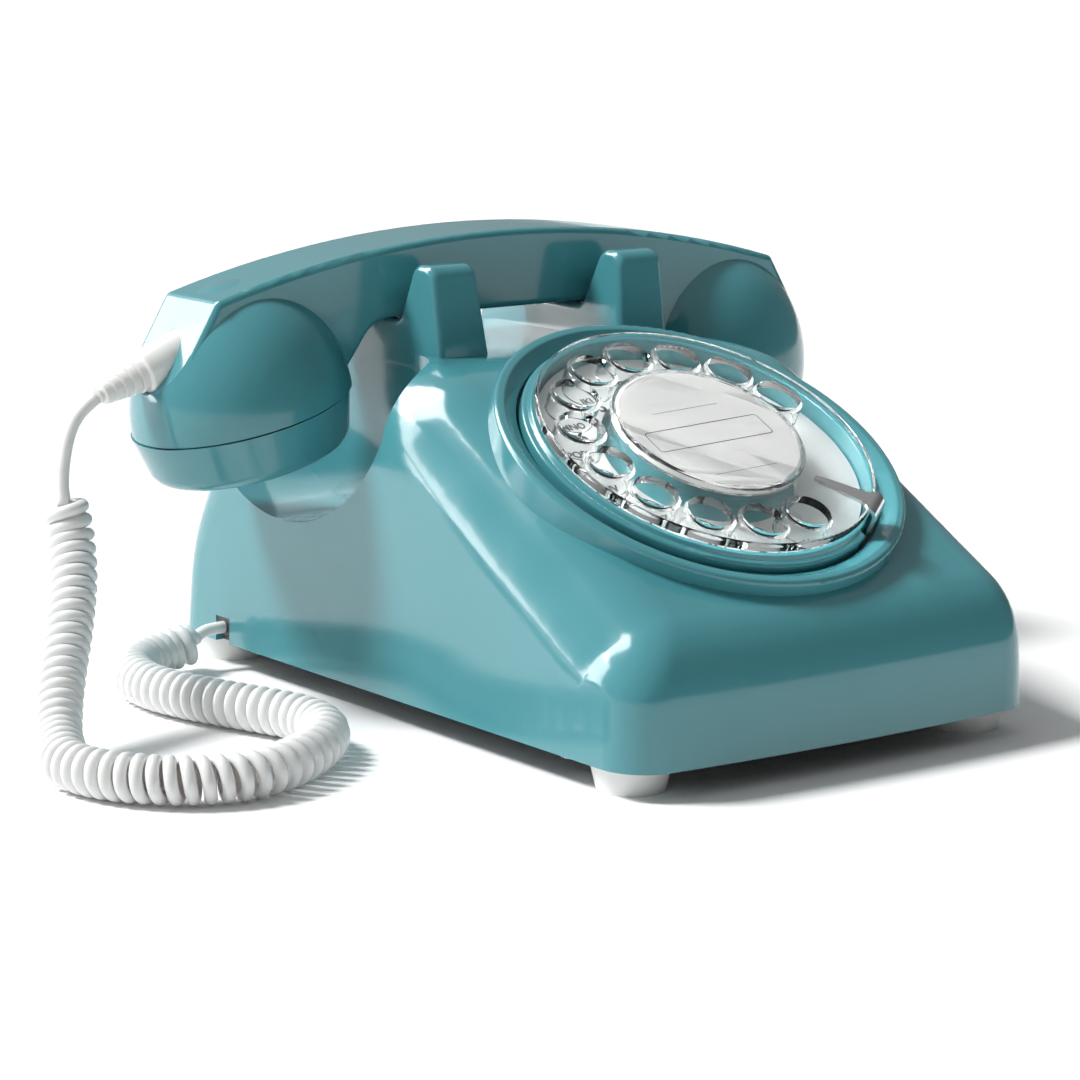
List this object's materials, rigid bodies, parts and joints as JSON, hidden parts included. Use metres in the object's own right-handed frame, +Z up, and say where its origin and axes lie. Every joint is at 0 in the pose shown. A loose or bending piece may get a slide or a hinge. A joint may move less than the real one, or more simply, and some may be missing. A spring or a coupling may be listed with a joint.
{
  "type": "rotary telephone",
  "caption": "Desk telephone with a sloping housing, a clear finger wheel dial, a lift-off handset on a cradle and a coiled handset cord.",
  "frame": {"origin": "on the table under the middle of the base", "axes": "+X to the right seen from the dial side, +Y to the back, +Z up"},
  "size_m": [0.3153, 0.245, 0.1376],
  "materials": {
    "housing_teal": "gloss",
    "handset_teal": "gloss",
    "white_rubber": "satin",
    "steel": "satin",
    "plate_steel": "satin",
    "number_face": "satin",
    "clear": "gloss",
    "white_plastic": "satin",
    "paper": "matt",
    "chrome_strip": "polished",
    "brass_metal": "satin",
    "nylon": "satin",
    "black_plastic": "satin",
    "board_green": "satin",
    "cord_white": "satin",
    "copper": "satin",
    "socket_plastic": "satin",
    "felt": "matt"
  },
  "bodies": {
    "housing": {"housing_shell": "housing_teal", "base_plate": "plate_steel", "rubber_feet": "white_rubber", "base_screws": "steel", "dial_bowl": "housing_teal", "number_plate": "number_face", "dial_frame": "steel", "dial_bridge": "steel", "governor_drum": "steel", "dial_spring": "steel", "pulse_contacts": "black_plastic", "dial_screws": "steel", "finger_stop": "chrome_strip", "switch_bracket": "steel", "hook_contacts": "black_plastic", "hook_spring": "steel", "gong_left": "steel", "gong_right": "steel", "gong_post_left": "steel", "gong_post_right": "steel", "ringer_yoke": "steel", "ringer_coil": "copper", "clapper_pin": "steel", "circuit_board": "board_green", "board_posts": "nylon", "board_components": "black_plastic", "line_socket": "socket_plastic", "cord_grommet": "black_plastic", "handset_cord_lead": "cord_white", "handset_cord_coil_high": "cord_white", "handset_cord_coil_low": "cord_white", "handset_cord_tail": "cord_white"},
    "dial": {"finger_wheel": "clear", "dial_shaft": "steel", "main_gear": "brass_metal", "pulse_cam": "nylon", "hub_disc": "white_plastic", "label_card": "paper", "card_cover": "clear"},
    "governor": {"governor_pinion": "nylon", "governor_rotor": "steel", "governor_weights": "brass_metal"},
    "hook": {"plunger_left": "white_plastic", "plunger_right": "white_plastic", "hook_bar": "steel"},
    "clapper_arm": {"clapper": "brass_metal"},
    "handset": {"handset_shell": "handset_teal", "mouthpiece_cap": "handset_teal", "mouthpiece_capsule": "black_plastic", "mouthpiece_seat": "felt", "earpiece_cap": "handset_teal", "earpiece_capsule": "black_plastic", "earpiece_seat": "felt", "cord_boot": "white_rubber", "handset_weight": "steel"}
  },
  "joints": [
    {"name": "handset_lift", "type": "slide", "parent": "housing", "child": "handset", "axis": [0, 0, 1], "range_m": [0, 0.12]},
    {"name": "hook_switch", "type": "slide", "parent": "housing", "child": "hook", "axis": [0, 0, 1], "range_m": [0, 0.006]},
    {"name": "dial_spin", "type": "hinge", "parent": "housing", "child": "dial", "pos_m": [0, -0.0553, 0.0795], "axis": [0, -0.4833, 0.8755], "range_deg": [-322, 0], "stiffness_Nm_per_rad": 0.01},
    {"name": "governor_spin", "type": "hinge", "parent": "housing", "child": "governor", "pos_m": [0, -0.03289, 0.09187], "axis": [0, -0.4833, 0.8755], "range_deg": [0, 966]},
    {"name": "clapper_swing", "type": "hinge", "parent": "housing", "child": "clapper_arm", "pos_m": [0, 0.0365, 0.02], "axis": [0, 0, 1], "range_deg": [-3, 3]}
  ],
  "couplings": [
    {"joint": "hook_switch", "follows": "handset_lift", "ratio": 0.05},
    {"joint": "governor_spin", "follows": "dial_spin", "ratio": -3}
  ]
}
